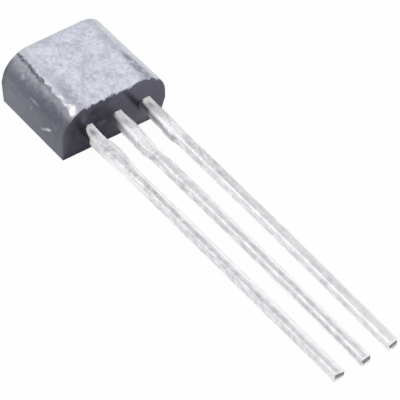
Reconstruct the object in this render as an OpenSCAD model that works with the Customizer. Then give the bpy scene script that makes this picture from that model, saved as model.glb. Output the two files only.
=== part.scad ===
// Small-signal transistor in a flat-backed in-line plastic package (TO-92 outline), lying on its back.
// Construction axes: x runs from the far end of the body (-) to the lead tips (+) and is 0 where the
// leads leave the body, y runs across the leads, z runs up from the back face to the marked face.

/* [Body] */
// Width across the parting line, at the end where the leads come out
body_width = 4.62; // [4.5:0.02:4.8]
// Height from the back face to the marked face
body_height = 2.27; // [2.16:0.01:2.4]
// Length at the parting line
body_length = 3.9; // [3.7:0.05:4.1]
// Radius of the two long front corners
corner_radius = 1.06; // [0.9:0.02:1.15]
// Mould draft of the walls behind the parting line, in degrees
back_draft = 6; // [2:0.5:8]
// Mould draft of the walls in front of the parting line, in degrees
front_draft = 3.5; // [2:0.5:6]
// How far each side wall leans in towards the far end, in degrees
side_taper = 0.75; // [0:0.05:1.2]

/* [Mould marks] */
// Width of the gate scar on the far end
gate_width = 0.9; // [0.6:0.1:1.4]
// Height of the gate scar, down from the parting line
gate_height = 0.22; // [0.12:0.02:0.3]
// How far the gate scar stands out of the far end
gate_proud = 0.05; // [0.02:0.01:0.1]
// Diameter of the ejector pin's mark on the back face
pin_mark_diameter = 1.3; // [0.8:0.1:1.6]
// Depth of the ejector pin's mark
pin_mark_depth = 0.05; // [0.03:0.01:0.08]
// Distance of the mark's centre from the lead end
pin_mark_offset = 1.95; // [1.6:0.05:2.2]

/* [Leads] */
// Pitch of the three leads
lead_pitch = 1.27; // [1.25:0.01:1.3]
// Width of a lead
lead_width = 0.44; // [0.38:0.01:0.48]
// Thickness of the lead frame's sheet
frame_thickness = 0.43; // [0.36:0.01:0.48]
// Height of the frame's underside, and of the parting line, above the back face
frame_height = 0.92; // [0.8:0.01:0.95]
// Length of the middle lead outside the body
lead_length = 14.68; // [12.5:0.1:15]
// How much further the first outer lead reaches than the last, from a cut that isn't quite square
cut_slant = 0.15; // [0:0.01:0.2]
// Bevel along the long edges of the leads
edge_bevel = 0.05; // [0.02:0.01:0.08]
// Bevel all round the cut tips
tip_bevel = 0.09; // [0.03:0.01:0.12]

/* [Dam bar remains] */
// Distance from the body to where a lead widens to its shoulder
shoulder_start = 0.5; // [0.3:0.05:0.7]
// How far a shoulder stands out on each side of its lead
shoulder_proud = 0.04; // [0.02:0.01:0.06]
// Distance from the body to the sheared dam bar's near edge
dam_start = 1.4; // [1.2:0.05:1.6]
// Width of the sheared dam bar
dam_width = 0.7; // [0.4:0.05:0.9]
// How far the sheared stub stands out of its lead
stub_proud = 0.09; // [0.06:0.01:0.12]
// Length over which a stub runs back into the plain lead
stub_fade = 0.3; // [0.1:0.05:0.5]

/* [Frame inside the body] */
// Length of the die paddle
paddle_length = 1.4; // [1.2:0.05:1.5]
// Width of the die paddle
paddle_width = 2.9; // [2.4:0.1:3.1]
// Plastic left between the paddle and the far end
paddle_cover = 0.45; // [0.35:0.05:0.6]
// Gap between the paddle and the bonding heads
head_gap = 0.35; // [0.25:0.05:0.45]
// Length of a bonding head
head_length = 0.55; // [0.45:0.05:0.65]
// Width of a bonding head
head_width = 0.84; // [0.7:0.02:0.9]
// Depth of the lock notches that key the leads into the plastic
notch_depth = 0.08; // [0.04:0.01:0.1]
// Length of a lock notch
notch_length = 0.25; // [0.15:0.05:0.35]
// Distance from the lead end to the near side of a lock notch
notch_inset = 0.45; // [0.35:0.05:0.5]

/* [Die and bond wires] */
// Side of the square silicon die
die_side = 1.05; // [0.8:0.05:1.1]
// Thickness of the die
die_thickness = 0.22; // [0.15:0.01:0.26]
// Thickness of the solder under the die
solder_thickness = 0.05; // [0.03:0.01:0.07]
// How far the solder shows round the die
solder_margin = 0.06; // [0.03:0.01:0.09]
// Offset of the die from the middle of the part, towards the collector lead
die_offset = 0.12; // [0:0.02:0.3]
// Diameter of the bond wires
wire_diameter = 0.08; // [0.06:0.01:0.1]
// Angle at which a wire rises out of its ball, in degrees
wire_rise = 50; // [40:1:60]
// Diameter of the ball at the die end of a wire
ball_diameter = 0.2; // [0.16:0.01:0.24]
// Height of the ball
ball_height = 0.08; // [0.08:0.01:0.12]
// Length of the flattened foot at the lead end of a wire
foot_length = 0.26; // [0.2:0.02:0.3]
// Width of the foot
foot_width = 0.14; // [0.12:0.01:0.18]
// Height of the foot
foot_height = 0.07; // [0.07:0.01:0.09]
// Distance of a wire's ball from the die's edge facing the leads
ball_inset = 0.22; // [0.16:0.02:0.3]
// Distance between the two balls on the die
ball_spread = 0.5; // [0.4:0.05:0.6]

/* [Hidden] */
$fn = 48;
epoxy_colour = [0.20, 0.20, 0.23];
tinned_colour = [0.80, 0.79, 0.81];
die_colour = [0.36, 0.38, 0.44];
solder_colour = [0.62, 0.62, 0.64];
gold_colour = [0.90, 0.72, 0.32];
// Overshoot of cutting bodies, so that no cut ends flush with a face
cut = 1;

half_width = body_width / 2;
frame_top = frame_height + frame_thickness;
back_set = frame_height * tan(back_draft);
front_set = (body_height - frame_height) * tan(front_draft);

// Centre of a long front corner's arc, tangent to the drafted side wall and to the marked face
arc_z = body_height - corner_radius;
arc_y = half_width - (arc_z - frame_height) * tan(front_draft) - corner_radius / cos(front_draft);
// Where that arc leaves the side wall
wall_y = arc_y + corner_radius * cos(front_draft);
wall_z = arc_z + corner_radius * sin(front_draft);

// The part rests on the back edge of the body's lead end and on the tip of the longest lead
longest_lead = lead_length + cut_slant / 2;
rest_tilt = atan2(frame_height, longest_lead - tip_bevel + back_set);
rest_min_x = (back_set - body_length - gate_proud) * cos(rest_tilt) + frame_height * sin(rest_tilt);
rest_max_x = (longest_lead + back_set) * cos(rest_tilt) + (frame_top - tip_bevel) * sin(rest_tilt);

// Plan positions inside the body
paddle_x0 = -body_length + paddle_cover;
paddle_x1 = paddle_x0 + paddle_length;
head_x0 = paddle_x1 + head_gap;
head_x = head_x0 + head_length / 2;
paddle_y0 = -lead_pitch - lead_width / 2 - notch_depth;
notch_x1 = -notch_inset;
notch_x0 = notch_x1 - notch_length;
// A lead's bevelled length starts at root_x0 and its stem ends at root_x1, one inside the other
root_x0 = -0.75 * notch_inset;
root_x1 = -0.25 * notch_inset;
die_x = (paddle_x0 + paddle_x1) / 2;
die_y = -die_offset;
die_z = frame_top + solder_thickness;
ball_x = die_x + die_side / 2 - ball_inset;
ball_z = die_z + die_thickness;
foot_x = head_x0 + (head_length - foot_length + foot_width) / 2;

// A shape in the y-z plane drawn out along x
module along_x(x0, x1) {
    translate([x0, 0, 0]) rotate([90, 0, 90]) linear_extrude(x1 - x0) children();
}

// A shape in the x-y plane, as thick as the lead frame and at its height
module frame_sheet() {
    translate([0, 0, frame_height]) linear_extrude(frame_thickness) children();
}

// Stands the part as it comes to rest, with its origin under the middle of its box
module at_rest() {
    translate([-(rest_min_x + rest_max_x) / 2, 0, 0]) rotate([0, rest_tilt, 0])
        translate([back_set, 0, 0]) children();
}

// Everything on the inner side of one side wall: draft, long round corner and marked face
module side_section() {
    polygon([[-body_width, 0], [half_width - back_set, 0], [half_width, frame_height],
             [wall_y, wall_z], [arc_y, arc_z], [arc_y, body_height], [-body_width, body_height]]);
    intersection() {
        translate([arc_y, arc_z]) circle(corner_radius);
        polygon([[arc_y, arc_z], [arc_y + 2 * (wall_y - arc_y), arc_z + 2 * (wall_z - arc_z)],
                 [arc_y + 2 * corner_radius, arc_z + 2 * corner_radius],
                 [arc_y, arc_z + 2 * corner_radius]]);
    }
}

module tapered_side() {
    translate([0, half_width, 0]) rotate([0, 0, side_taper]) translate([0, -half_width, 0])
        along_x(-body_length - cut, cut) side_section();
}

module end_section() {
    polygon([[-back_set, 0], [0, frame_height], [-front_set, body_height],
             [-body_length + front_set, body_height], [-body_length, frame_height],
             [-body_length + back_set, 0]]);
}

module moulded_block() {
    intersection() {
        tapered_side();
        mirror([0, 1, 0]) tapered_side();
        translate([0, half_width + cut, 0]) rotate([90, 0, 0])
            linear_extrude(body_width + 2 * cut) end_section();
    }
}

module gate_scar() {
    translate([-body_length - gate_proud, -gate_width / 2, frame_height - gate_height])
        cube([gate_proud + back_set, gate_width, gate_height]);
}

module pin_mark() {
    translate([-pin_mark_offset, 0, -cut]) cylinder(d = pin_mark_diameter, h = cut + pin_mark_depth);
}

module epoxy_shape() {
    difference() {
        union() {
            moulded_block();
            gate_scar();
        }
        pin_mark();
        collector_shape();
        base_shape();
        emitter_shape();
        solder_shape();
        die_shape();
        base_wire_shape();
        emitter_wire_shape();
    }
}

// Cross-section of a lead, with its four long edges bevelled
module lead_section() {
    w = lead_width / 2;
    t = frame_thickness;
    b = edge_bevel;
    polygon([[-w + b, 0], [w - b, 0], [w, b], [w, t - b], [w - b, t], [-w + b, t], [-w, t - b], [-w, b]]);
}

// A lead's outline in plan or from the side, as broad as it is there and bevelled at the tip
module tipped_outline(reach, breadth) {
    b = breadth / 2;
    polygon([[root_x0, -b], [reach - tip_bevel, -b], [reach, -b + tip_bevel],
             [reach, b - tip_bevel], [reach - tip_bevel, b], [root_x0, b]]);
}

// How far a lead's side stands out where the dam bar was sheared off: the stub is on one side only
function dam_proud(side, stub_side) = side == stub_side ? stub_proud : shoulder_proud;

// One edge of the widened stretch next to the body, seen in plan, from the body outwards
function lead_edge(side, stub_side) =
    let (inner = lead_width / 2 - edge_bevel, shoulder = lead_width / 2 + shoulder_proud,
         stub = lead_width / 2 + dam_proud(side, stub_side), dam_end = dam_start + dam_width)
    [[shoulder_start, side * inner], [shoulder_start + shoulder_proud, side * shoulder],
     [dam_start, side * shoulder], [dam_start + stub_proud, side * stub], [dam_end, side * stub],
     [dam_end + stub_fade, side * inner]];

// Lead outside the body, with its root just inside. The stub is on the side given by its sign.
module outer_lead(reach, stub_side) {
    left = lead_edge(-1, stub_side);
    right = lead_edge(1, stub_side);
    intersection() {
        translate([0, 0, frame_height]) along_x(root_x0, reach + cut) lead_section();
        frame_sheet() tipped_outline(reach, lead_width);
        translate([0, lead_width / 2 + cut, frame_height + frame_thickness / 2]) rotate([90, 0, 0])
            linear_extrude(lead_width + 2 * cut) tipped_outline(reach, frame_thickness);
    }
    frame_sheet() polygon([each left, for (i = [len(right) - 1:-1:0]) right[i]]);
}

// Lead inside the body, with a lock notch on each side
module stem(x0) {
    w = lead_width / 2;
    frame_sheet() polygon([
        [x0, -w - notch_depth], [notch_x0, -w - notch_depth], [notch_x0, -w + notch_depth],
        [notch_x1, -w + notch_depth], [notch_x1, -w], [root_x1, -w], [root_x1, w], [notch_x1, w],
        [notch_x1, w - notch_depth], [notch_x0, w - notch_depth], [notch_x0, w + notch_depth],
        [x0, w + notch_depth]]);
}

module bonding_head() {
    frame_sheet() translate([head_x0, -head_width / 2]) square([head_length, head_width]);
}

module collector_shape() {
    frame_sheet() translate([paddle_x0, paddle_y0]) square([paddle_length, paddle_width]);
    translate([0, -lead_pitch, 0]) {
        stem(die_x);
        outer_lead(longest_lead, 1);
    }
}

module base_shape() {
    bonding_head();
    stem(head_x);
    outer_lead(lead_length, -1);
}

module emitter_shape() {
    translate([0, lead_pitch, 0]) {
        bonding_head();
        stem(head_x);
        outer_lead(lead_length - cut_slant / 2, -1);
    }
}

module solder_shape() {
    side = die_side + 2 * solder_margin;
    translate([die_x - side / 2, die_y - side / 2, frame_top]) cube([side, side, solder_thickness]);
}

module die_shape() {
    translate([die_x - die_side / 2, die_y - die_side / 2, die_z]) cube([die_side, die_side, die_thickness]);
}

// One bond wire: a single arc from the ball on the die to the flattened foot on a bonding head
module bond_wire(from_y, to_y) {
    run = norm([foot_x - ball_x, to_y - from_y]);
    drop = ball_z + ball_height / 2 - frame_top - foot_height / 2;
    bend = (run * run + drop * drop) / (2 * (run * sin(wire_rise) + drop * cos(wire_rise)));
    chord = norm([run, drop]);
    translate([ball_x, from_y, ball_z]) {
        cylinder(d = ball_diameter, h = ball_height);
        rotate([0, 0, atan2(to_y - from_y, foot_x - ball_x)]) {
            translate([bend * sin(wire_rise), 0, ball_height / 2 - bend * cos(wire_rise)])
                rotate([90, 0, 0]) rotate([0, 0, 90 + wire_rise - 2 * asin(chord / (2 * bend))])
                    rotate_extrude(angle = 2 * asin(chord / (2 * bend)))
                        translate([bend, 0]) circle(d = wire_diameter);
            translate([run - foot_width / 2, -foot_width / 2, frame_top - ball_z])
                cube([foot_length, foot_width, foot_height]);
        }
    }
}

module base_wire_shape() {
    bond_wire(die_y - ball_spread / 2, 0);
}

module emitter_wire_shape() {
    bond_wire(die_y + ball_spread / 2, lead_pitch);
}

module epoxy_body() {
    color(epoxy_colour) at_rest() epoxy_shape();
}

module collector_lead() {
    color(tinned_colour) at_rest() collector_shape();
}

module base_lead() {
    color(tinned_colour) at_rest() base_shape();
}

module emitter_lead() {
    color(tinned_colour) at_rest() emitter_shape();
}

module die_attach() {
    color(solder_colour) at_rest() solder_shape();
}

module silicon_die() {
    color(die_colour) at_rest() die_shape();
}

module base_bond_wire() {
    color(gold_colour) at_rest() base_wire_shape();
}

module emitter_bond_wire() {
    color(gold_colour) at_rest() emitter_wire_shape();
}

epoxy_body();
collector_lead();
base_lead();
emitter_lead();
die_attach();
silicon_die();
base_bond_wire();
emitter_bond_wire();
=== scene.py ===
"""Small-signal transistor in a flat-backed in-line plastic package, lying on its back on a white table.

The part is modelled straight, in millimetres: x is 0 where the leads leave the body and grows towards
their tips, y runs across the leads, z runs up from the back face. set_to_rest() then shrinks each piece
to metres and leans it as it lies on the table. Left (-y) and right (+y) are as seen from the lead tips.
"""

import math
from types import SimpleNamespace

import bmesh
import bpy
from mathutils import Matrix, Vector


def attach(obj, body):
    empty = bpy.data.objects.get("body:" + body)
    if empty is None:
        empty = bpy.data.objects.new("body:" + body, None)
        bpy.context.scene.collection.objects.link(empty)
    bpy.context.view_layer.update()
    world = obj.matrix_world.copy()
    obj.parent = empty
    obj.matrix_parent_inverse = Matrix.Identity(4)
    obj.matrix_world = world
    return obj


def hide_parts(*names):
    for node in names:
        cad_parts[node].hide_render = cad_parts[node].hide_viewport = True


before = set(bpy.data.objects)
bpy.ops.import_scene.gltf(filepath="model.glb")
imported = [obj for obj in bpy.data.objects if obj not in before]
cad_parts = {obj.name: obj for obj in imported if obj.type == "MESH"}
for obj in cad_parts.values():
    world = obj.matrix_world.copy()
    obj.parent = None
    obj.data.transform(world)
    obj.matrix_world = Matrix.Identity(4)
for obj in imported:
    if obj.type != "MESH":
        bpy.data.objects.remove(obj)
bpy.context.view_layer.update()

# ---------------------------------------------------------------- sizes, in mm
BODY_WIDTH, BODY_HEIGHT, BODY_LENGTH = 4.62, 2.27, 3.9
PARTING = 0.92                  # height of the parting line and of the leads' underside
CORNER_RADIUS = 1.06            # of the two long front corners
BACK_DRAFT, FRONT_DRAFT, SIDE_TAPER = (math.radians(a) for a in (6, 3.5, 0.75))
BACK_SET = PARTING * math.tan(BACK_DRAFT)
FRONT_SET = (BODY_HEIGHT - PARTING) * math.tan(FRONT_DRAFT)
TAPER_SET = BODY_LENGTH * math.tan(SIDE_TAPER)
CORNER_STEPS = 26               # flat facets in each of those corners
EDGE_WEAR, BACK_EDGE_WEAR = 0.04, 0.012
GATE_WIDTH, GATE_HEIGHT, GATE_PROUD = 0.9, 0.22, 0.05
PIN_MARK_X, PIN_MARK_RADIUS, PIN_MARK_DEPTH = -1.95, 0.65, 0.05
LEAD_PITCH, LEAD_WIDTH, LEAD_THICKNESS = 1.27, 0.44, 0.43
LEAD_TOP = PARTING + LEAD_THICKNESS
LEAD_REACH = {"collector": 14.755, "base": 14.68, "emitter": 14.605}
ROOT_DEPTH = 0.3                # how far a lead runs on inside the body
TIP_BEVEL = 0.09

# How the part leans at rest, on the body's lower lead-side edge and the longest lead's tip
LEAN = math.atan2(PARTING, LEAD_REACH["collector"] - TIP_BEVEL + BACK_SET)
LOW_X = (BACK_SET - BODY_LENGTH - GATE_PROUD) * math.cos(LEAN) + PARTING * math.sin(LEAN)
HIGH_X = (LEAD_REACH["collector"] + BACK_SET) * math.cos(LEAN) + (LEAD_TOP - TIP_BEVEL) * math.sin(LEAN)
LEAN_TURN = Matrix.Rotation(LEAN, 3, "Y")
MM = 0.001


def at_rest(x, y, z):
    """Where a point of the straight part, in mm, comes to rest, in metres."""
    return (LEAN_TURN @ Vector((x + BACK_SET, y, z)) - Vector(((LOW_X + HIGH_X) / 2, 0, 0))) * MM


# ---------------------------------------------------------------- modelling helpers
NEAR = 0.01                     # how far from a level a vertex still counts as lying on it


def clear_selection():
    """Leaves edit mode with nothing selected."""
    if bpy.context.mode != "OBJECT":
        bpy.ops.object.mode_set(mode="OBJECT")
    bpy.ops.object.select_all(action="DESELECT")


def select_only(piece):
    clear_selection()
    piece.select_set(True)
    bpy.context.view_layer.objects.active = piece


def start_block(name, low, high):
    """A block between two corners, opened in edit mode with nothing selected."""
    clear_selection()
    size = [b - a for a, b in zip(low, high)]
    middle = [(a + b) / 2 for a, b in zip(low, high)]
    bpy.ops.mesh.primitive_cube_add(size=1, location=middle, scale=size)
    piece = bpy.context.object
    piece.name = piece.data.name = name
    bpy.ops.object.transform_apply(location=True, rotation=True, scale=True)
    bpy.ops.object.mode_set(mode="EDIT")
    bpy.ops.mesh.select_all(action="DESELECT")
    return piece


def pick(piece, kind, test):
    """Selects the vertices, edges or faces of the piece in edit mode that pass the test, and nothing else."""
    bpy.ops.mesh.select_mode(type=kind)
    bpy.ops.mesh.select_all(action="DESELECT")
    mesh = bmesh.from_edit_mesh(piece.data)
    parts = {"VERT": mesh.verts, "EDGE": mesh.edges, "FACE": mesh.faces}[kind]
    for part in [part for part in parts if test(part)]:
        part.select_set(True)
    mesh.select_flush_mode()
    bmesh.update_edit_mesh(piece.data, loop_triangles=False, destructive=False)


def slice_along(axis, places):
    """Cuts the mesh in edit mode across an axis at each place, to give it edges there."""
    direction = [1.0 if i == axis else 0.0 for i in range(3)]
    for place in places:
        bpy.ops.mesh.select_all(action="SELECT")
        bpy.ops.mesh.bisect(plane_co=[place * d for d in direction], plane_no=direction, threshold=1e-5)


def places_between(a, b, step):
    """Evenly spaced places between a and b, about a step apart and without the two ends."""
    count = max(1, round((b - a) / step))
    return [a + (b - a) * i / count for i in range(1, count)]


def bevel(width, segments, **settings):
    """Rounds the selected edges of the mesh in edit mode."""
    bpy.ops.mesh.bevel(offset_type="OFFSET", offset=width, segments=segments, profile=0.5,
                       affect="EDGES", **settings)


def apply_modifier(piece, kind, **settings):
    modifier = piece.modifiers.new(kind.lower(), kind)
    for key, value in settings.items():
        setattr(modifier, key, value)
    bpy.context.view_layer.objects.active = piece
    bpy.ops.object.modifier_apply(modifier=modifier.name)


def ripple(piece, name, length, height):
    """Gives the whole surface soft waves, as long and as high as stated."""
    waves = bpy.data.textures.new(name, "CLOUDS")
    waves.noise_scale = length
    apply_modifier(piece, "DISPLACE", texture=waves, texture_coords="LOCAL", strength=height, mid_level=0.5)


def set_to_rest(piece):
    """Shrinks the straight piece from mm to metres and lays it down as the part rests."""
    select_only(piece)
    piece.scale = (MM, MM, MM)
    piece.rotation_euler = (0, LEAN, 0)
    piece.location = at_rest(0, 0, 0)
    bpy.ops.object.transform_apply(location=True, rotation=True, scale=True)


def smooth_faces(piece, degrees):
    """Shades the faces smooth that meet at less than this angle."""
    select_only(piece)
    bpy.ops.object.shade_smooth_by_angle(angle=math.radians(degrees))


def give(piece, *materials):
    """Replaces the piece's materials with these, in this order."""
    piece.data.materials.clear()
    for material in materials:
        piece.data.materials.append(material)


# ---------------------------------------------------------------- body
FACET = 0.15                    # spacing of the edges that the soft waves of the moulding need


def mould_body(sides, ends):
    """The moulded block, with one material for its sides and front and another for its two ends."""
    body = start_block("moulded_body", (-BODY_LENGTH, -BODY_WIDTH / 2, 0), (0, BODY_WIDTH / 2, BODY_HEIGHT))
    give(body, sides, ends)
    draft_walls(body)
    round_outlines(body)
    add_gate_scar(body)
    # The worn outlines of the two ends lie beyond the first and the last of these places
    slice_along(0, places_between(-BODY_LENGTH + 0.1, -0.14, FACET))
    slice_along(1, places_between(-BODY_WIDTH / 2, BODY_WIDTH / 2, FACET))
    slice_along(2, places_between(0, BODY_HEIGHT, FACET))
    bpy.ops.object.mode_set(mode="OBJECT")
    press_pin_mark(body)
    ripple(body, "mould_waves", length=0.5, height=0.012)
    bpy.ops.object.mode_set(mode="EDIT")
    pick(body, "FACE", lambda f: abs(f.normal.x) > 0.8)
    body.active_material_index = 1
    bpy.ops.object.material_slot_assign()
    bpy.ops.object.mode_set(mode="OBJECT")
    return body


def draft_walls(body):
    """Leans all four walls in from the parting line, and the sides also towards the far end."""
    middle_x = -BODY_LENGTH / 2
    slice_along(2, [PARTING])
    for level, inset in ((0, BACK_SET), (BODY_HEIGHT, FRONT_SET)):
        pick(body, "VERT", lambda v: abs(v.co.z - level) < NEAR)
        bpy.ops.transform.resize(
            value=(1 - 2 * inset / BODY_LENGTH, 1 - 2 * inset / BODY_WIDTH, 1),
            center_override=(middle_x, 0, level))
    for side in (-1, 1):
        pick(body, "VERT", lambda v: v.co.x < middle_x and v.co.y * side > 0)
        bpy.ops.transform.translate(value=(0, -side * TAPER_SET, 0))


def round_outlines(body):
    """Rounds the two long front corners to arcs, and wears the other edges a little, the back's hardly."""
    pick(body, "EDGE", lambda e: min(v.co.z for v in e.verts) > BODY_HEIGHT - NEAR
         and abs(e.verts[0].co.y - e.verts[1].co.y) < 0.2)
    bevel(CORNER_RADIUS / math.tan((math.pi / 2 + FRONT_DRAFT) / 2), CORNER_STEPS, clamp_overlap=False)
    sharp = math.radians(40)
    for low, high, worn in ((-1, NEAR, BACK_EDGE_WEAR), (0.1, 3, EDGE_WEAR)):
        pick(body, "EDGE", lambda e: e.is_manifold and e.calc_face_angle(0) > sharp
             and low < max(v.co.z for v in e.verts) < high)
        bevel(worn, 3)


def add_gate_scar(body):
    """The low block where the runner was broken off the far end."""
    slice_along(1, [-GATE_WIDTH / 2, GATE_WIDTH / 2])
    slice_along(2, [PARTING - GATE_HEIGHT])
    pick(body, "FACE", lambda f: f.normal.x < -0.9 and abs(f.calc_center_median().y) < GATE_WIDTH / 2
         and PARTING - GATE_HEIGHT < f.calc_center_median().z < PARTING)
    bpy.ops.mesh.extrude_region_move(TRANSFORM_OT_translate={"value": (-GATE_PROUD * 0.9, 0, 0)})


def press_pin_mark(body):
    """The shallow round mark of the ejector pin on the back."""
    pin_length = 0.5
    bpy.ops.mesh.primitive_cylinder_add(vertices=64, radius=PIN_MARK_RADIUS, depth=pin_length,
                                        location=(PIN_MARK_X, 0, PIN_MARK_DEPTH - pin_length / 2))
    pin = bpy.context.object
    apply_modifier(body, "BOOLEAN", object=pin, operation="DIFFERENCE", solver="EXACT")
    bpy.data.objects.remove(pin)


# ---------------------------------------------------------------- leads
SHEAR_LINE = 0.2                # height on a lead's side where the clean shear turns into the torn part
SHEAR_LEAN = 0.025              # how far the torn part leans in at the underside
STATION = 0.12                  # spacing of the sections along a lead
SIDE_FROM, EDGE_FROM = 0.2, 0.14        # least distance of a lead's sides and long edges from its middle
TOP_DEPTH = 0.12                # how far the top of a lead falls at most
TOP_CUTS = (-0.11, 0, 0.08)     # edges cut along a lead's top, to the right of its crest
CROWN = ((0.06, 0.3), (0.1, 0.7))       # from how far right of the crest the top falls, and by which share


def outline_at(outline, x):
    """How far an outline of (x, distance) points, joined by straight lines, stands out at x."""
    for (x0, a), (x1, b) in zip(outline, outline[1:]):
        if x0 <= x <= x1:
            return a + (b - a) * (x - x0) / (x1 - x0)
    return 0.0


def strip_lead(name, tin, torn, place, reach, edges, sway, crown, crest, tear):
    """One lead of the stamped strip, from just inside the body to its sheared tip.

    place is where the lead lies across the row, and crest how far from there its top is highest. edges
    gives, for each long side, how far the shoulder and the sheared dam bar stand out along it, sway how far
    the lead strays sideways, and crown how far its top falls away to the right of the crest. tear is the
    torn core of the tip: its share of the width and of the height, and its turn in degrees.
    """
    lead = start_block(name, (-ROOT_DEPTH, place - LEAD_WIDTH / 2, PARTING),
                       (reach, place + LEAD_WIDTH / 2, LEAD_TOP))
    give(lead, tin, torn)
    stations = [-ROOT_DEPTH, *places_between(-ROOT_DEPTH, reach, STATION), reach]
    slice_along(0, stations[1:-1])
    slice_along(2, [PARTING + SHEAR_LINE])
    slice_along(1, [place + crest + cut for cut in TOP_CUTS])
    for x in stations:
        for side, outline in edges.items():
            shift_section(lead, x, lambda v: (v.co.y - place) * side >= SIDE_FROM,
                          (0, side * outline_at(outline, x), 0))
        for beyond_crest, share in CROWN:
            shift_section(lead, x,
                          lambda v: v.co.y - place >= crest + beyond_crest and v.co.z > LEAD_TOP - TOP_DEPTH,
                          (0, 0, -share * outline_at(crown, x)))
        shift_section(lead, x, lambda v: True, (0, outline_at(sway, x), 0))
    round_long_edges(lead, lambda v, side: (v.co.y - place - outline_at(sway, v.co.x)) * side > EDGE_FROM)
    shear_tip(lead, place, reach, tear)
    bpy.ops.object.mode_set(mode="OBJECT")
    ripple(lead, "tin_waves", length=0.35, height=0.02)
    return lead


def shift_section(lead, x, chosen, shift):
    """Moves the chosen vertices of the lead's section at x, where the shift is worth it."""
    if max(abs(s) for s in shift) > 1e-4:
        pick(lead, "VERT", lambda v: abs(v.co.x - x) < 1e-3 and chosen(v))
        bpy.ops.transform.translate(value=shift)


def round_long_edges(lead, on_side):
    """Leans the torn lower part of both sides in, and rounds the four long edges.

    on_side tells whether a vertex lies on the side given as -1 or 1.
    """
    for side in (-1, 1):
        pick(lead, "VERT", lambda v: v.co.z < PARTING + NEAR and on_side(v, side))
        bpy.ops.transform.translate(value=(0, -side * SHEAR_LEAN, 0))
    top, underside = (LEAD_TOP - TOP_DEPTH, BODY_HEIGHT), (0, PARTING + 0.05)
    for (low, high), side, radius in ((top, -1, 0.055), (top, 1, 0.05),
                                      (underside, -1, 0.06), (underside, 1, 0.06)):
        pick(lead, "EDGE", lambda e: abs(e.verts[0].co.x - e.verts[1].co.x) > 0.01
             and all(low < v.co.z < high and on_side(v, side) for v in e.verts))
        bevel(radius, 4)


def shear_tip(lead, place, reach, tear):
    """The cut end: a little askew, drawn out to the left, with a bright rim round a dark tear."""
    drawn_out, askew, pushed_out, shift = 0.02, 0.01, 0.05, 0.02
    rim_width, step_width, step_depth = 0.025, 0.004, 0.006
    pick(lead, "VERT", lambda v: v.co.x > reach - 0.2 and v.co.y < place - 0.05)
    bpy.ops.transform.translate(value=(0, -drawn_out, 0))
    pick(lead, "VERT", lambda v: v.co.x > reach - 0.02 and v.co.y > place + 0.1)
    bpy.ops.transform.translate(value=(-askew, 0, 0))
    pick(lead, "FACE", lambda f: f.normal.x > 0.9)
    bpy.ops.transform.translate(value=(pushed_out, 0, 0))
    bpy.ops.mesh.inset(thickness=rim_width, depth=0.0)
    bpy.ops.mesh.inset(thickness=step_width, depth=-step_depth)
    width, height, turn = tear
    middle = (reach, place, PARTING + 0.24)
    bpy.ops.transform.resize(value=(1, width, height), center_override=middle)
    bpy.ops.transform.rotate(value=math.radians(turn), orient_axis="X", center_override=middle)
    bpy.ops.transform.translate(value=(0, shift, 0))
    lead.active_material_index = 1
    bpy.ops.object.material_slot_assign()


# Each lead's shape, as strip_lead() takes it, with outlines as (x, distance) points
LEADS = {
    "collector": dict(
        place=-LEAD_PITCH, crest=-0.02, tear=(0.97, 0.6, 2),
        crown=[(0, 0), (1.6, 0), (2.8, 0.09), (15, 0.09)],
        sway=[(-1, -0.02), (2, -0.02), (4, 0), (14, -0.03), (15, -0.03)],
        edges={1: [(-1, 0.04), (0.1, 0.03), (0.45, 0), (0.95, 0), (1.15, 0.06), (1.5, 0.09), (1.8, 0.09),
                   (2.8, 0.02), (6, 0.02), (9, 0.04), (15, 0.04)],
               -1: [(-1, -0.025), (0.2, -0.02), (0.4, 0), (0.5, 0.055), (1.3, 0.055), (2.2, 0)]}),
    "base": dict(
        place=0, crest=-0.01, tear=(0.92, 0.58, -20),
        crown=[(0, 0.01), (1, 0.01), (2, 0.05), (5, 0.05), (7, 0.07), (15, 0.07)],
        sway=[(-1, 0.03), (8, 0.04), (13, -0.017), (15, -0.02)],
        edges={1: [(-1, 0.05), (0.15, 0.02), (0.5, 0.035), (0.75, 0.05), (1.0, 0.035), (1.4, 0.02),
                   (1.8, 0.0), (2.2, -0.05), (2.7, -0.05), (3.1, 0)],
               -1: [(-1, 0.02), (0.25, 0.02), (0.5, 0), (0.7, 0.04), (1.4, 0.05), (1.5, 0.08), (2.1, 0.08),
                    (2.4, 0), (9.5, 0), (11, -0.03), (13.5, -0.03), (14.3, 0)]}),
    "emitter": dict(
        place=LEAD_PITCH, crest=0.0, tear=(0.88, 0.5, -22),
        crown=[(0, 0.01), (1.5, 0.01), (2.5, 0.02), (15, 0.02)],
        sway=[(-1, 0.05), (8, 0.06), (14.6, -0.017), (15, -0.02)],
        edges={1: [(-1, 0.03), (0.5, 0.03), (1.4, 0.03), (2.2, 0)],
               -1: [(-1, 0.015), (0.2, 0.015), (0.5, 0), (0.7, 0.02), (1.4, 0.03), (1.5, 0.08), (2.0, 0.08),
                    (2.15, 0)]}),
}


# ---------------------------------------------------------------- materials
def to_linear(hex_colour):
    """An sRGB hex colour as linear RGBA."""
    channels = [int(hex_colour[i:i + 2], 16) / 255 for i in (1, 3, 5)]
    return (*(c / 12.92 if c <= 0.04045 else ((c + 0.055) / 1.055) ** 2.4 for c in channels), 1.0)


def add(tree, kind, inputs=None, **settings):
    """One node with its settings, each input a value or linked from a socket or a node's first output."""
    made = tree.nodes.new("ShaderNode" + kind)
    for key, value in settings.items():
        setattr(made, key, value)
    for key, value in (inputs or {}).items():
        if isinstance(value, bpy.types.Node):
            value = value.outputs[0]
        if isinstance(value, bpy.types.NodeSocket):
            tree.links.new(value, made.inputs[key])
        else:
            made.inputs[key].default_value = value
    return made


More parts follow.
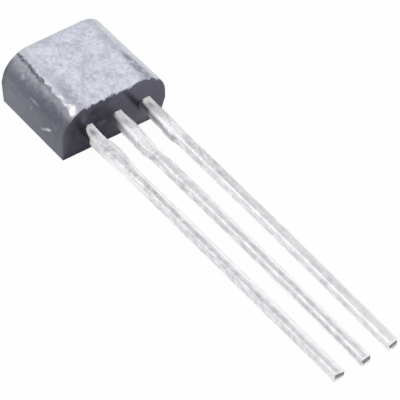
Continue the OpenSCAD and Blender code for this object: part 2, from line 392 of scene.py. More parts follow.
def new_material(name):
    """An empty node material: its tree, the straight part's place in mm, and a shader wired to the output."""
    material = bpy.data.materials.new(name)
    material.use_nodes = True
    tree = material.node_tree
    tree.nodes.clear()
    coordinates = add(tree, "TexCoord")
    place = add(tree, "Mapping", {"Vector": coordinates.outputs["Object"], "Location": at_rest(0, 0, 0),
                                  "Rotation": (0, LEAN, 0), "Scale": (MM, MM, MM)}, vector_type="TEXTURE")
    shader = add(tree, "BsdfPrincipled")
    add(tree, "OutputMaterial", {"Surface": shader})
    return material, tree, place, shader


def survey(tree, place, **noises):
    """What a recipe reads at a place: x, y and z, and noises given as grain in mm, detail and roughness."""
    found = SimpleNamespace(place=place)
    found.x, found.y, found.z = add(tree, "SeparateXYZ", {0: place}).outputs
    for name, (grain, detail, roughness) in noises.items():
        setattr(found, name, add(tree, "TexNoise", {"Vector": place, "Scale": 1 / grain, "Detail": detail,
                                                    "Roughness": roughness}))
    return found


def patch(tree, place, middle, size, turn=(0, 0, 0), inner=0.4, outer=1.2, depth=1.0):
    """A soft-edged oval of the part's surface: depth inside it and 0 outside.

    middle and size are in mm and turn in degrees. Its edge fades from inner to outer, as shares of half
    the size.
    """
    local = add(tree, "Mapping", {"Vector": place, "Location": middle, "Scale": [s / 2 for s in size],
                                  "Rotation": [math.radians(a) for a in turn]}, vector_type="TEXTURE")
    far = add(tree, "VectorMath", {0: local}, operation="LENGTH")
    return add(tree, "MapRange", {0: far.outputs["Value"], 1: inner, 2: outer, 3: depth, 4: 0.0},
               interpolation_type="SMOOTHSTEP")


def lay(tree, under, tone, value, none_at=0.0, full_at=1.0, share=1.0, smooth=False):
    """A colour with a tone laid over it: none where the value is at none_at, the tone's share at full_at."""
    amount = add(tree, "MapRange", {0: value, 1: none_at, 2: full_at, 3: 0.0, 4: share},
                 interpolation_type="SMOOTHSTEP" if smooth else "LINEAR")
    under, tone = (to_linear(colour) if isinstance(colour, str) else colour for colour in (under, tone))
    return add(tree, "MixRGB", {0: amount, 1: under, 2: tone})


def finish_surface(tree, shader, colour, bump_height, bump_strength, bump_depth):
    """Gives the shader its colour, and fine relief as deep as stated in mm."""
    tree.links.new(colour.outputs[0], shader.inputs["Base Color"])
    relief = add(tree, "Bump", {"Height": bump_height, "Strength": bump_strength,
                                "Distance": bump_depth * MM})
    tree.links.new(relief.outputs[0], shader.inputs["Normal"])


# Pale scuffs on the side walls: middle, size, tilt in degrees, strength
SCUFFS = (((-0.99, -2.29, 0.87), (0.5, 0.4, 0.16), -36, 1.0),
          ((-1.3, -2.29, 0.64), (0.4, 0.4, 0.13), -33, 0.85),
          ((-0.55, -2.29, 1.3), (0.65, 0.4, 0.04), -40, 0.15),
          ((-1.97, -2.27, 1.47), (0.6, 0.4, 0.13), 0, 0.4),
          ((-2.06, -2.3, 1.1), (0.16, 0.4, 0.26), 0, 0.2),
          ((-2.94, -2.12, 1.81), (0.3, 0.4, 0.2), 0, 0.3),
          ((-1.2, 2.29, 0.95), (0.7, 0.4, 0.1), 24, 0.5),
          ((-2.9, 2.26, 0.6), (0.3, 0.4, 0.14), -30, 0.3))
# Places where the bleached front is rubbed, on both shoulders and at the far end: middle, size, strength
RUBBED = (((-1.1, 1.5, 2.2), (1.2, 0.36, 0.5), 0.8), ((-2.7, 1.47, 2.2), (3.0, 0.4, 0.5), 0.25),
          ((-0.4, 1.5, 2.2), (1.1, 0.5, 0.6), 0.6), ((-0.8, -1.5, 2.2), (2.2, 0.6, 0.6), 0.55),
          ((-3.1, -1.55, 2.2), (2.6, 0.36, 0.5), 0.3), ((-3.85, 0, 2.27), (0.5, 5, 0.6), 0.2))


# Where the bleached front ends: distance from the middle on the left at the lead end, and its change with x;
# height on the right; place short of the leads
BLEACH_LEFT, BLEACH_SLANT, BLEACH_RIGHT_Z, BLEACH_END_X = 1.88, 0.07, 1.62, -0.06
DUST_LOW_Z = 0.39               # height down to which dust lies thickly


def bare_epoxy(tree, at):
    """The dark epoxy of the sides: greyer away from the leads, with painted shade on the upper part of the
    walls, and darkest at the far edge.
    """
    bare = lay(tree, "#595b68", "#6c6f7b", at.x, -0.3, -3.6, smooth=True)
    bare = lay(tree, bare, "#8a8b93", at.flecks, 0.35, 0.65, 0.22)
    # Painted shade on the upper part of the walls, below the front corners
    upper_wall_shade = patch(tree, at.place, (-1.9, 0, 1.55), (8, 12, 0.6), inner=0.2, depth=0.4)
    bare = lay(tree, bare, "#4a4a54", upper_wall_shade)
    grainy = add(tree, "MapRange", {0: at.grain, 1: 0.33, 2: 0.55})
    for middle, size, tilt, strength in SCUFFS:
        scuff = patch(tree, at.place, middle, size, (0, tilt, 0), inner=0.2, outer=1.3, depth=strength)
        bare = lay(tree, bare, "#dfe0e6", add(tree, "Math", {0: scuff, 1: grainy}, operation="MULTIPLY"))
    return lay(tree, bare, "#3d3e47", at.x, -3.6, -3.84, 0.5, smooth=True)


def bleached_epoxy(tree, at):
    """The front gone pale lavender grey: speckled, with painted light on the right shoulder, and rubbed in
    places.
    """
    pale = lay(tree, "#b9bdcb", "#e0e3ee", at.grain, 0.3, 0.7)
    pale = lay(tree, pale, "#a9adba", at.blotches, 0.55, 0.35, 0.5)
    pale = lay(tree, pale, "#989ba8", at.flecks, 0.45, 0.3, 0.45)
    pale = lay(tree, pale, "#e6e3e3", at.flecks, 0.52, 0.7, 0.6)
    # Painted light on the right shoulder
    pale = lay(tree, pale, "#eef0f6", at.y, 1.5, 1.9, 0.5)
    thin = add(tree, "MapRange", {0: at.flecks, 1: 0.4, 2: 0.52, 3: 0.2, 4: 1.0})
    for middle, size, strength in RUBBED:
        rubbed = patch(tree, at.place, middle, size, inner=0.3, outer=1.5, depth=strength)
        pale = lay(tree, pale, "#6a6c77", add(tree, "Math", {0: rubbed, 1: thin}, operation="MULTIPLY"))
    return pale


def bleach_line(tree, at):
    """Adds to what is read how far a place lies inside the bleached front, whose edge is ragged.

    left_gap and height_gap are the same without the raggedness, for the edges on the left and on the right.
    """
    slant = add(tree, "Math", {0: at.x, 1: BLEACH_SLANT, 2: BLEACH_LEFT}, operation="MULTIPLY_ADD")
    at.left_gap = add(tree, "Math", {0: at.y, 1: slant}, operation="ADD")
    at.height_gap = add(tree, "Math", {0: at.z, 1: BLEACH_RIGHT_Z}, operation="SUBTRACT")
    shift = add(tree, "Math", {0: at.ragged, 1: 0.24, 2: -0.12}, operation="MULTIPLY_ADD")
    at.left_edge = add(tree, "Math", {0: at.left_gap, 1: shift}, operation="ADD")
    right_edge = add(tree, "Math", {0: shift, 1: 1.5, 2: at.height_gap}, operation="MULTIPLY_ADD")
    front_gap = add(tree, "Math", {0: BLEACH_END_X, 1: at.x}, operation="SUBTRACT")
    torn_front = add(tree, "MapRange", {0: at.flecks, 1: 0.35, 2: 0.6, 3: -0.14, 4: 0.1})
    front_edge = add(tree, "Math", {0: front_gap, 1: torn_front}, operation="ADD")
    at.edge = at.left_edge
    for other in (right_edge, front_edge):
        at.edge = add(tree, "Math", {0: at.edge, 1: other}, operation="MINIMUM")


def dust_below(tree, at, bare):
    """The bare sides with pale dust below the bleached front, which thins out sooner near the leads."""
    low_gap = add(tree, "Math", {0: at.z, 1: DUST_LOW_Z}, operation="SUBTRACT")
    toward_left = add(tree, "Math", {0: at.y, 1: -1.0}, operation="MULTIPLY")
    reach = add(tree, "Math", {0: at.height_gap, 1: toward_left}, operation="MAXIMUM")
    for other in (low_gap, at.left_gap):
        reach = add(tree, "Math", {0: reach, 1: other}, operation="MINIMUM")
    speck = add(tree, "Math", {0: at.grain, 1: 0.35, 2: 0.7}, operation="MULTIPLY_ADD")
    speck = add(tree, "Math", {0: at.flecks, 1: 0.4, 2: speck}, operation="MULTIPLY_ADD")
    falls = add(tree, "MapRange", {0: at.x, 1: -3.0, 2: -0.5, 3: 1.05, 4: 2.0})
    dust = add(tree, "Math", {0: reach, 1: falls, 2: speck}, operation="MULTIPLY_ADD")
    dusted = lay(tree, "#b4b7c3", "#c9c7ca", at.grain, 0.4, 0.65)
    return lay(tree, bare, dusted, dust, 0.5, 1.05, 0.6, smooth=True)


def edge_shadow_chips_and_highlights(tree, at, colour):
    """A painted shadow line along the bleached front's left edge, and white chips with painted highlights
    instead of it towards the leads.

    The corner next to the leads holds the largest painted highlight.
    """
    high_left = add(tree, "Math", {0: at.z, 1: at.y}, operation="SUBTRACT")
    high_left = add(tree, "MapRange", {0: high_left, 1: 3.4, 2: 3.5})
    # Painted shadow line just outside the left edge, strongest far from the leads
    off_gap = add(tree, "Math", {0: at.left_edge, 1: 0.06}, operation="ADD")
    off_gap = add(tree, "Math", {0: off_gap}, operation="ABSOLUTE")
    shadow_line = add(tree, "MapRange", {0: off_gap, 1: 0.015, 2: 0.085, 3: 1.0, 4: 0.0})
    darkens = add(tree, "MapRange", {0: at.x, 1: -0.8, 2: -2.4, 3: 0.25, 4: 1.0})
    patchy = add(tree, "MapRange", {0: at.flecks, 1: 0.35, 2: 0.6, 3: 1.0, 4: 0.6})
    for factor in (high_left, darkens, patchy):
        shadow_line = add(tree, "Math", {0: shadow_line, 1: factor}, operation="MULTIPLY")
    colour = lay(tree, colour, "#3f404a", shadow_line)
    # White chips and painted highlights along the edge towards the leads
    chips_and_highlights = add(tree, "MapRange", {0: at.left_edge, 1: 0.02, 2: 0.05})
    inside = add(tree, "MapRange", {0: at.left_edge, 1: 0.1, 2: 0.15, 3: 1.0, 4: 0.0})
    whitens = add(tree, "MapRange", {0: at.x, 1: -2.3, 2: -0.9, 3: 0.0, 4: 0.85})
    broken = add(tree, "MapRange", {0: at.flecks, 1: 0.48, 2: 0.56})
    for factor in (inside, high_left, whitens, broken):
        chips_and_highlights = add(tree, "Math", {0: chips_and_highlights, 1: factor}, operation="MULTIPLY")
    # Painted highlight on the corner next to the leads
    corner_highlight = patch(tree, at.place, (-0.33, -1.78, 2.12), (0.52, 0.24, 0.4), (0, 23, -40), inner=0.6,
                   depth=1.4)
    crumbled = add(tree, "MapRange", {0: at.ragged, 1: 0.3, 2: 0.5})
    corner_highlight = add(tree, "Math", {0: corner_highlight, 1: crumbled}, operation="MULTIPLY")
    return lay(tree, colour, "#f6f4f3", add(tree, "Math", {0: chips_and_highlights, 1: corner_highlight}, operation="MAXIMUM"))


def moulded_epoxy():
    """Silica-filled epoxy, transfer moulded: matt and dark grey, the front bleached a pale lavender grey."""
    material, tree, place, shader = new_material("moulded_epoxy")
    # Silica grains of some 0.03 mm are too fine to show, so grain draws them at 0.08 mm
    at = survey(tree, place, grain=(0.08, 3, 0.65), flecks=(0.2, 3, 0.5), blotches=(0.55, 2, 0.5),
                ragged=(0.16, 3, 0.5))
    bleach_line(tree, at)
    sides = dust_below(tree, at, bare_epoxy(tree, at))
    colour = lay(tree, sides, bleached_epoxy(tree, at), at.edge, -0.02, 0.02, smooth=True)
    # Painted shadow and painted highlights along the bleached front's left edge, with white chips
    colour = edge_shadow_chips_and_highlights(tree, at, colour)
    # Darkened lower part of the lead end's worn rim
    worn_end = add(tree, "MapRange", {0: at.x, 1: -0.17, 2: -0.05, 3: 0.0, 4: 0.8},
                   interpolation_type="SMOOTHSTEP")
    low_part = add(tree, "MapRange", {0: at.z, 1: 1.65, 2: 1.95, 3: 1.0, 4: 0.0})
    colour = lay(tree, colour, "#3a3943", add(tree, "Math", {0: worn_end, 1: low_part}, operation="MULTIPLY"))
    shader.inputs["Roughness"].default_value = 0.5
    shader.inputs["Specular IOR Level"].default_value = 0.4
    finish_surface(tree, shader, colour, at.grain, 0.3, 0.01)
    return material


# Painted shade (darker) and painted reflections of the leads (lighter) on the lead end: y and z, width and
# height, turn in degrees, strength, tone
END_SHADE_AND_REFLECTIONS = (((0.82, 1.5), (0.3, 2.0), 34, 0.9, "#37353f"),
               ((1.1, 1.16), (0.26, 0.5), 20, 0.8, "#26242e"),
               ((-1.6, 1.4), (0.3, 1.0), 25, 0.7, "#302e38"),
               ((-0.6, 0.6), (0.5, 1.2), 30, 0.6, "#37353f"),
               ((-1.45, 1.72), (0.3, 0.6), 20, 0.6, "#706f7a"),
               ((-0.12, 1.85), (0.7, 0.5), 0, 0.4, "#706f7a"),
               ((-0.62, 1.14), (0.6, 0.3), 0, 0.4, "#706f7a"),
               ((1.4, 0.35), (0.8, 1.1), 20, 0.6, "#8a8994"))


def gate_break(tree, at, colour):
    """The rough break of the gate laid over the far end, where it stands out."""
    broken = lay(tree, "#4c4b55", "#8a8992", at.broken, 0.35, 0.65)
    return lay(tree, colour, broken, at.x, 0.01 - BODY_LENGTH, -BODY_LENGTH - 0.03)


def lapped_over(tree, at, colour):
    """The bleaching of the front laid over the upper edge of the ends, as far as it laps over in places."""
    off_middle = add(tree, "Math", {0: at.y}, operation="ABSOLUTE")
    beyond = add(tree, "Math", {0: off_middle, 1: BODY_WIDTH / 2 - CORNER_RADIUS}, operation="SUBTRACT")
    beyond = add(tree, "Math", {0: beyond, 1: 0.0}, operation="MAXIMUM")
    above = add(tree, "Math", {0: at.z, 1: BODY_HEIGHT - CORNER_RADIUS}, operation="SUBTRACT")
    from_corner = add(tree, "CombineXYZ", {0: beyond, 1: above})
    out = add(tree, "VectorMath", {0: from_corner}, operation="LENGTH")
    lap = add(tree, "MapRange", {0: at.flecks, 1: 0.45, 2: 0.65, 3: 0.0, 4: 0.13})
    lap = add(tree, "Math", {0: out.outputs["Value"], 1: lap}, operation="ADD")
    lapped = add(tree, "MapRange", {0: lap, 1: CORNER_RADIUS - 0.02, 2: CORNER_RADIUS + 0.01})
    for value, low, high in ((at.y, -1.75, -1.6), (at.z, 1.75, 1.85)):
        inside = add(tree, "MapRange", {0: value, 1: low, 2: high})
        lapped = add(tree, "Math", {0: lapped, 1: inside}, operation="MULTIPLY")
    return lay(tree, colour, "#c3c6d2", lapped)


def moulded_epoxy_end():
    """The same epoxy where it left the polished ends of the mould: blacker, more violet and patchy, with
    painted shade at the bottom and beside the leads, and painted reflections of the leads.
    """
    material, tree, place, shader = new_material("moulded_epoxy_end")
    at = survey(tree, place, patches=(0.5, 3, 0.5), flecks=(0.2, 3, 0.5), broken=(0.07, 3, 0.5))
    colour = lay(tree, "#3d3c48", "#6b6a76", at.y, -0.9, 0.9, smooth=True)
    colour = lay(tree, colour, "#676671", at.patches, 0.4, 0.65, 0.35)
    for value, worn_from, worn_to, share in ((at.y, -1.95, -2.3, 0.5), (at.y, 1.8, 2.2, 0.3),
                                             (at.z, 1.8, 2.1, 0.3)):
        colour = lay(tree, colour, "#74737e", value, worn_from, worn_to, share)
    # Painted shade: darker towards the bottom, where the end meets the table
    colour = lay(tree, colour, "#2b2938", at.z, 0.4, 0.1, 0.5)
    # Painted shade and painted reflections of the leads beside their roots
    for (y, z), (width, height), turn, strength, tone in END_SHADE_AND_REFLECTIONS:
        spot = patch(tree, place, (0, y, z), (0.6, width, height), (turn, 0, 0), inner=0.1, outer=1.3,
                     depth=strength)
        colour = lay(tree, colour, tone, spot)
    colour = lapped_over(tree, at, gate_break(tree, at, colour))
    shader.inputs["Roughness"].default_value = 0.38
    shader.inputs["Specular IOR Level"].default_value = 0.03
    finish_surface(tree, shader, colour, at.patches, 0.3, 0.01)
    return material


def clean_tin(tree, at, place_y, pale, dulled):
    """The clean tin: blotted and mottled, less so further out, dull near the root, with painted light at the
    body and painted highlights.

    pale gives the painted highlights as (x, y, length, width, strength), with the depth below the top for
    those on the side, and dulled between which places along the lead the dull stretch ends.
    """
    tin = lay(tree, "#e0dee2", "#f9f7fa", at.runs, 0.3, 0.65)
    for noise, low, high, far_share, tone in ((at.blots, 0.46, 0.64, 0.38, "#bab6bb"),
                                              (at.mottle, 0.5, 0.66, 0.25, "#b4b0b5")):
        share = add(tree, "MapRange", {0: at.x, 1: 3.5, 2: 6.0, 3: 0.55, 4: far_share})
        tin = lay(tree, tin, tone, noise, low, high, share)
    tin = lay(tree, tin, "#c4c2c6", at.x, dulled[1], dulled[0], 0.8, smooth=True)
    # Painted light: whiter right at the body, against the body's shade on the root of the lead
    tin = lay(tree, tin, "#ffffff", at.x, 0.45, 0.05, 0.9)
    beads = add(tree, "MapRange", {0: at.runs, 1: 0.4, 2: 0.58, 3: 0.75, 4: 1.0})
    # Painted highlights along the edges and sides and towards the tips
    for x, y, length, width, strength, *below in pale:
        middle = (x, place_y + y, LEAD_TOP - (below or [0])[0])
        highlight_patch = patch(tree, at.place, middle, (length, width, 0.4), depth=strength)
        tin = lay(tree, tin, "#fdfcfe", add(tree, "Math", {0: highlight_patch, 1: beads}, operation="MULTIPLY"))
    return tin


def side_shade_and_spots(tree, at, place_y, spots, band):
    """How far the tin is darkened: by painted shade in a band along the left side and all over that side, and
    in darker spots.

    band gives the band's strength near the body, further out and near the tip, and then that of the whole
    side. spots are on the top, as (x, y, length, width, strength).
    """
    # Painted shade on the left side, in a band and all over it
    on_side = add(tree, "MapRange", {0: at.across, 1: -0.19, 2: -0.16, 3: 1.0, 4: 0.0})
    off_band = add(tree, "Math", {0: at.z, 1: LEAD_TOP - 0.19}, operation="SUBTRACT")
    off_band = add(tree, "Math", {0: off_band}, operation="ABSOLUTE")
    in_band = add(tree, "MapRange", {0: off_band, 1: 0.04, 2: 0.13, 3: 1.0, 4: 0.0},
                  interpolation_type="SMOOTHSTEP")
    further = add(tree, "MapRange", {0: at.x, 1: 3.0, 2: 11.0, 3: band[1], 4: band[2]})
    strength = add(tree, "MapRange", {0: at.x, 1: 1.9, 2: 2.25, 3: band[0], 4: further})
    all_over = add(tree, "MapRange", {0: at.x, 1: 3.0, 2: 6.0, 3: 0.0, 4: band[3]})
    uneven = add(tree, "MapRange", {0: at.blots, 1: 0.35, 2: 0.62, 3: 0.65, 4: 1.1})
    total = add(tree, "Math", {0: in_band, 1: strength}, operation="MULTIPLY")
    total = add(tree, "Math", {0: total, 1: all_over}, operation="MAXIMUM")
    for factor in (on_side, uneven):
        total = add(tree, "Math", {0: total, 1: factor}, operation="MULTIPLY")
    for x, y, length, width, darkness in spots:
        spot = patch(tree, at.place, (x, place_y + y, LEAD_TOP), (length, width, 0.25), inner=0.1, outer=1.5,
                     depth=darkness)
        total = add(tree, "Math", {0: total, 1: spot}, operation="MAXIMUM")
    return total


def resin_and_root_shade(tree, at, start, soft, fall, end_low, end_high, tone, low_tone):
    """How far resin and painted shade at the root cover the left side of the lead, and their colour.

    Its upper edge lies start below the top edge and falls by fall with each mm along the lead, creeping up
    a little at the body. That edge fades over soft, and over less near the body. The resin and shade end
    between end_low and end_high, a little further out at the underside. tone is their colour high up,
    low_tone lower.
    """
    depth = add(tree, "Math", {0: LEAD_TOP, 1: at.z}, operation="SUBTRACT")
    depth = add(tree, "Math", {0: depth, 1: at.across}, operation="SUBTRACT")
    edge = add(tree, "Math", {0: at.x, 1: fall, 2: start}, operation="MULTIPLY_ADD")
    creep = add(tree, "MapRange", {0: at.x, 1: 0.0, 2: 0.1, 3: 0.1, 4: 0.0})
    edge = add(tree, "Math", {0: edge, 1: creep}, operation="SUBTRACT")
    under = add(tree, "Math", {0: depth, 1: edge}, operation="SUBTRACT")
    uneven = add(tree, "Math", {0: at.blots, 1: 0.5}, operation="SUBTRACT")
    under = add(tree, "Math", {0: uneven, 1: 0.08, 2: under}, operation="MULTIPLY_ADD")
    spread = add(tree, "MapRange", {0: at.x, 1: 0.0, 2: 0.5, 3: max(0.035, soft / 3), 4: soft / 2})
    under = add(tree, "Math", {0: under, 1: spread}, operation="DIVIDE")
    covered = add(tree, "MapRange", {0: under, 1: -1.0, 2: 1.0}, interpolation_type="SMOOTHSTEP")
    held_back = add(tree, "MapRange", {0: at.z, 1: PARTING, 2: PARTING + 0.1, 3: 0.08, 4: 0.0})
    along = add(tree, "Math", {0: at.x, 1: held_back}, operation="SUBTRACT")
    before_end = add(tree, "MapRange", {0: along, 1: end_low, 2: end_high, 3: 1.0, 4: 0.0},
                     interpolation_type="SMOOTHSTEP")
    clings = add(tree, "MapRange", {0: at.across, 1: -0.08, 2: 0.02, 3: 1.0, 4: 0.0})
    for factor in (before_end, clings):
        covered = add(tree, "Math", {0: covered, 1: factor}, operation="MULTIPLY")
    return covered, lay(tree, tone, low_tone, depth, 0.25, 0.5)


def hot_dip_tin(name, place_y, spots, pale, resin_and_shade, band, dulled, frosted_to):
    """Hot-dip tin over stamped copper alloy: bright silver with a faint lilac cast and runs along the lead.

    Next to the body, up to frosted_to, it is frosted where the moulding was blasted clean. Resin and painted
    shade cover part of its left side there, painted shade darkens that side further out, and darker spots
    grey it in places.
    """
    material, tree, place, shader = new_material(name)
    at = survey(tree, place, blots=(0.3, 2, 0.5), mottle=(0.11, 2, 0.5))
    at.across = add(tree, "Math", {0: at.y, 1: place_y}, operation="SUBTRACT")
    drawn = add(tree, "Mapping", {"Vector": place, "Scale": (0.4, 1, 1)})
    at.runs = add(tree, "TexNoise", {"Vector": drawn, "Scale": 1 / 0.16, "Detail": 2.0, "Roughness": 0.5})
    tin = clean_tin(tree, at, place_y, pale, dulled)
    # Painted shade along the left side, and darker spots
    tin = lay(tree, tin, "#6c6872", side_shade_and_spots(tree, at, place_y, spots, band))
    # Resin and painted shade on the left side at the root
    covered, resin_and_shade_tone = resin_and_root_shade(tree, at, *resin_and_shade)
    frosted = add(tree, "MapRange", {0: at.x, 1: frosted_to - 0.75, 2: frosted_to, 3: 0.1, 4: 1.0},
                  interpolation_type="SMOOTHSTEP")
    bare = add(tree, "Math", {0: 1.0, 1: covered}, operation="SUBTRACT")
    metal = add(tree, "Math", {0: frosted, 1: bare}, operation="MULTIPLY")
    rough = add(tree, "MapRange", {0: at.x, 1: 0.6, 2: 2.8, 3: 0.6, 4: 0.25}, interpolation_type="SMOOTHSTEP")
    tree.links.new(metal.outputs[0], shader.inputs["Metallic"])
    tree.links.new(rough.outputs[0], shader.inputs["Roughness"])
    finish_surface(tree, shader, lay(tree, tin, resin_and_shade_tone, covered), at.runs, 0.35, 0.02)
    return material


def sheared_core():
    """Torn copper alloy where the lead was cut off, gone dark and dull in the air."""
    material, tree, place, shader = new_material("sheared_core")
    tear = add(tree, "TexNoise", {"Vector": place, "Scale": 1 / 0.05, "Detail": 3.0})
    shader.inputs["Metallic"].default_value = 0.6
    shader.inputs["Roughness"].default_value = 0.6
    finish_surface(tree, shader, lay(tree, "#7e767e", "#a8a0a8", tear), tear, 0.6, 0.01)
    return material


def plain_metal(name, dark, light, grain, roughness, metallic):
    """A metal or glassy solid inside the body, with a faint grain of its own."""
    material, tree, place, shader = new_material(name)
    speckle = add(tree, "TexNoise", {"Vector": place, "Scale": 1 / grain, "Detail": 2.0})
    tree.links.new(lay(tree, dark, light, speckle).outputs[0], shader.inputs["Base Color"])
    shader.inputs["Metallic"].default_value = metallic
    shader.inputs["Roughness"].default_value = roughness
    return material


# Each lead's tin, as hot_dip_tin() takes it
TINNING = {
    "collector": dict(
        spots=[(0.38, -0.07, 0.38, 0.2, 0.65), (4.07, -0.02, 0.36, 0.14, 0.4),
               (10.0, -0.2, 10.0, 0.16, 0.15)],
        pale=[(8.0, 0.17, 22.0, 0.33, 1.0), (2.4, -0.24, 4.2, 0.3, 1.0, 0.22), (14.2, 0, 5.0, 0.8, 0.4),
              (0.3, 0.17, 0.8, 0.12, 0.8)],
        resin_and_shade=(0.09, 0.07, 0.63, 0.5, 0.54, "#32313b", "#32313b"),
        band=(0.05, 0.05, 0.1, 0.06), dulled=(0.3, 0.9), frosted_to=1.3),
    "base": dict(
        spots=[(0.62, 0.02, 0.24, 0.16, 0.25)],
        pale=[(1.8, 0.03, 1.7, 0.7, 0.45), (1.05, -0.13, 1.0, 0.14, 1.0), (10.5, 0.17, 13.0, 0.24, 1.0),
              (2.4, 0.2, 1.2, 0.3, 0.9), (9, -0.17, 13.5, 0.14, 0.2), (14.2, 0, 5.0, 0.8, 0.3),
              (0.3, 0.17, 1.0, 0.14, 0.7), (1.25, -0.22, 1.3, 0.3, 1.0, 0.33), (2.0, 0.16, 1.0, 0.24, 0.9),
              (4.8, 0.02, 6.0, 0.4, 0.4)],
        resin_and_shade=(0.08, 0.34, 0.2, 0.25, 0.75, "#4f4e58", "#66656f"),
        band=(0.12, 0.15, 0.35, 0.0), dulled=(0.6, 1.4), frosted_to=2.2),
    "emitter": dict(
        spots=[(0.36, 0.03, 0.4, 0.24, 0.5)],
        pale=[(2.0, 0.05, 1.0, 0.7, 0.4), (1.3, -0.12, 1.2, 0.13, 1.0), (2.4, -0.1, 1.4, 0.2, 0.8),
              (8.0, 0.14, 14, 0.3, 0.5), (8, -0.14, 13.5, 0.16, 0.4), (14.2, 0, 5.5, 0.8, 0.8),
              (1.3, -0.22, 1.5, 0.3, 0.7, 0.37), (0.25, 0.17, 0.6, 0.12, 0.6), (9.5, 0.06, 3.5, 0.4, 0.35)],
        resin_and_shade=(0.1, 0.24, 0.1, 0.4, 0.75, "#4c4b55", "#85848d"),
        band=(0.46, 0.4, 0.15, 0.0), dulled=(0.8, 1.5), frosted_to=2.6),
}

# ---------------------------------------------------------------- assembly
torn = sheared_core()
body = mould_body(moulded_epoxy(), moulded_epoxy_end())
set_to_rest(body)
smooth_faces(body, 30)
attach(body, "root")
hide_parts("epoxy_body")

for role, made in LEADS.items():
    tin = hot_dip_tin(f"hot_dip_tin_{role}", made["place"], **TINNING[role])
    lead = strip_lead(f"{role}_strip", tin, torn, reach=LEAD_REACH[role], **made)
    set_to_rest(lead)
    smooth_faces(lead, 50)
    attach(lead, "root")
    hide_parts(f"{role}_lead")

give(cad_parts["silicon_die"], plain_metal("sawn_silicon", "#565c6c", "#6c7284", 0.2, 0.2, 0.0))
give(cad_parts["die_attach"], plain_metal("reflowed_solder", "#96969a", "#b2b2b4", 0.1, 0.4, 1.0))
gold = plain_metal("drawn_gold", "#dcae4c", "#f0c868", 0.05, 0.25, 1.0)
give(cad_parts["base_bond_wire"], gold)
give(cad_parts["emitter_bond_wire"], gold)

# ---------------------------------------------------------------- table, light and camera
TABLE_SIZE = 4.0                # metres
WHITE_SEEN = 0.97               # how much of the table's white doesn't depend on the light
GAP_HEIGHT = 0.67               # of the greyer gap between walls and ceiling, as the sine of its elevation
GLOW_FROM = Vector((-0.575, -0.34, 0.755)).normalized()
KEY_FROM = Vector((0.1, -0.35, 0.93)).normalized()
KEY_STRENGTH, KEY_SPREAD = 1.7, math.radians(100)

CAMERA_DISTANCE, PX_PER_MM, FRAME_PX = 300.0, 27.7633, 400
AIM, AIM_PX_X, AIM_PX_Y = Vector((3.0, 0, 1.05)), 165.5553, 167.0393     # a point, and the pixel it falls on
RIGHT, UP, BACK = (Vector(v) for v in ((0.6063, 0.7918, 0.0743), (-0.5879, 0.3834, 0.7123),
                                       (0.5355, -0.4755, 0.6979)))


def seen_ray(tree):
    """1 for what the camera sees, straight or in a reflection, and 0 for light on the part."""
    ray = add(tree, "LightPath")
    seen = ray.outputs["Is Camera Ray"]
    for other in ("Is Glossy Ray", "Is Transmission Ray"):
        seen = add(tree, "Math", {0: seen, 1: ray.outputs[other]}, operation="MAXIMUM")
    return seen


def lay_table():
    """A wide white table, nearly evenly bright to the eye and plain matt paper to the part."""
    clear_selection()
    bpy.ops.mesh.primitive_plane_add(size=TABLE_SIZE, location=(0, 0, 0))
    table = bpy.context.object
    table.name = "table"
    paper = bpy.data.materials.new("white_table")
    paper.use_nodes = True
    tree = paper.node_tree
    tree.nodes.clear()
    lit = add(tree, "BsdfDiffuse", {"Color": to_linear("#e1e1e1")})
    own = add(tree, "Emission", {"Color": to_linear("#ffffff"), "Strength": 1.0})
    share = add(tree, "Math", {0: seen_ray(tree), 1: WHITE_SEEN}, operation="MULTIPLY")
    both = add(tree, "MixShader", {0: share, 1: lit, 2: own})
    add(tree, "OutputMaterial", {"Surface": both})
    table.data.materials.append(paper)


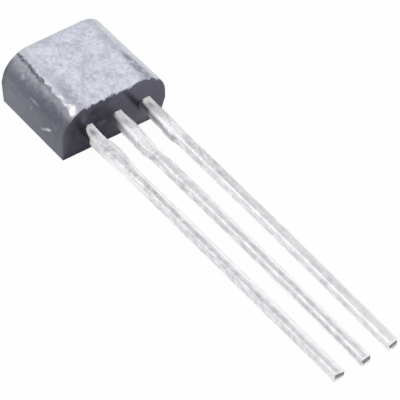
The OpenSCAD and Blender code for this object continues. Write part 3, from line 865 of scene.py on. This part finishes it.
def light_room():
    """A white room with a greyer gap between walls and ceiling, and a broad glow at the back on the left."""
    world = bpy.data.worlds.new("soft_white_room")
    bpy.context.scene.world = world
    world.use_nodes = True
    tree = world.node_tree
    tree.nodes.clear()
    toward = add(tree, "TexCoord").outputs["Generated"]
    height = add(tree, "SeparateXYZ", {0: toward}).outputs[2]
    off_gap = add(tree, "Math", {0: height, 1: GAP_HEIGHT}, operation="SUBTRACT")
    off_gap = add(tree, "Math", {0: off_gap}, operation="ABSOLUTE")
    walls = add(tree, "MapRange", {0: off_gap, 1: 0.06, 2: 0.3, 3: 0.73, 4: 1.0},
                interpolation_type="SMOOTHSTEP")
    facing = add(tree, "VectorMath", {0: toward, 1: GLOW_FROM}, operation="DOT_PRODUCT").outputs["Value"]
    glow = add(tree, "MapRange", {0: facing, 1: 0.6, 2: 0.95, 3: 0.0, 4: 0.35},
               interpolation_type="SMOOTHSTEP")
    room = add(tree, "Math", {0: walls, 1: glow}, operation="ADD")
    level = add(tree, "MapRange", {0: seen_ray(tree), 3: 0.5, 4: room})
    air = add(tree, "Background", {"Color": to_linear("#ffffff"), "Strength": level})
    add(tree, "OutputWorld", {"Surface": air})


def hang_key_light():
    """A broad light from above and a little from the left, which shows in no reflection."""
    key = bpy.data.lights.new("key_light", "SUN")
    key.energy = KEY_STRENGTH
    key.angle = KEY_SPREAD
    key_object = bpy.data.objects.new("key_light", key)
    key_object.rotation_mode = "QUATERNION"
    key_object.rotation_quaternion = KEY_FROM.to_track_quat("Z", "Y")
    key_object.visible_glossy = False
    bpy.context.scene.collection.objects.link(key_object)


def set_camera():
    """The camera, far off along BACK, placed so that the aim falls on its pixel."""
    to_middle = RIGHT * (FRAME_PX / 2 - AIM_PX_X) / PX_PER_MM - UP * (FRAME_PX / 2 - AIM_PX_Y) / PX_PER_MM
    eye = AIM + to_middle + BACK * CAMERA_DISTANCE
    camera = bpy.data.cameras.new("camera")
    camera.sensor_width = 36
    camera.lens = PX_PER_MM * CAMERA_DISTANCE / FRAME_PX * camera.sensor_width
    camera.clip_start, camera.clip_end = 0.01, 10
    camera_object = bpy.data.objects.new("camera", camera)
    turn = Matrix((RIGHT, UP, BACK)).transposed().to_3x3()
    camera_object.matrix_world = Matrix.Translation(at_rest(*eye)) @ (LEAN_TURN @ turn).to_4x4()
    bpy.context.scene.collection.objects.link(camera_object)
    bpy.context.scene.camera = camera_object


lay_table()
light_room()
hang_key_light()
set_camera()
bpy.context.scene.view_settings.view_transform = "Standard"
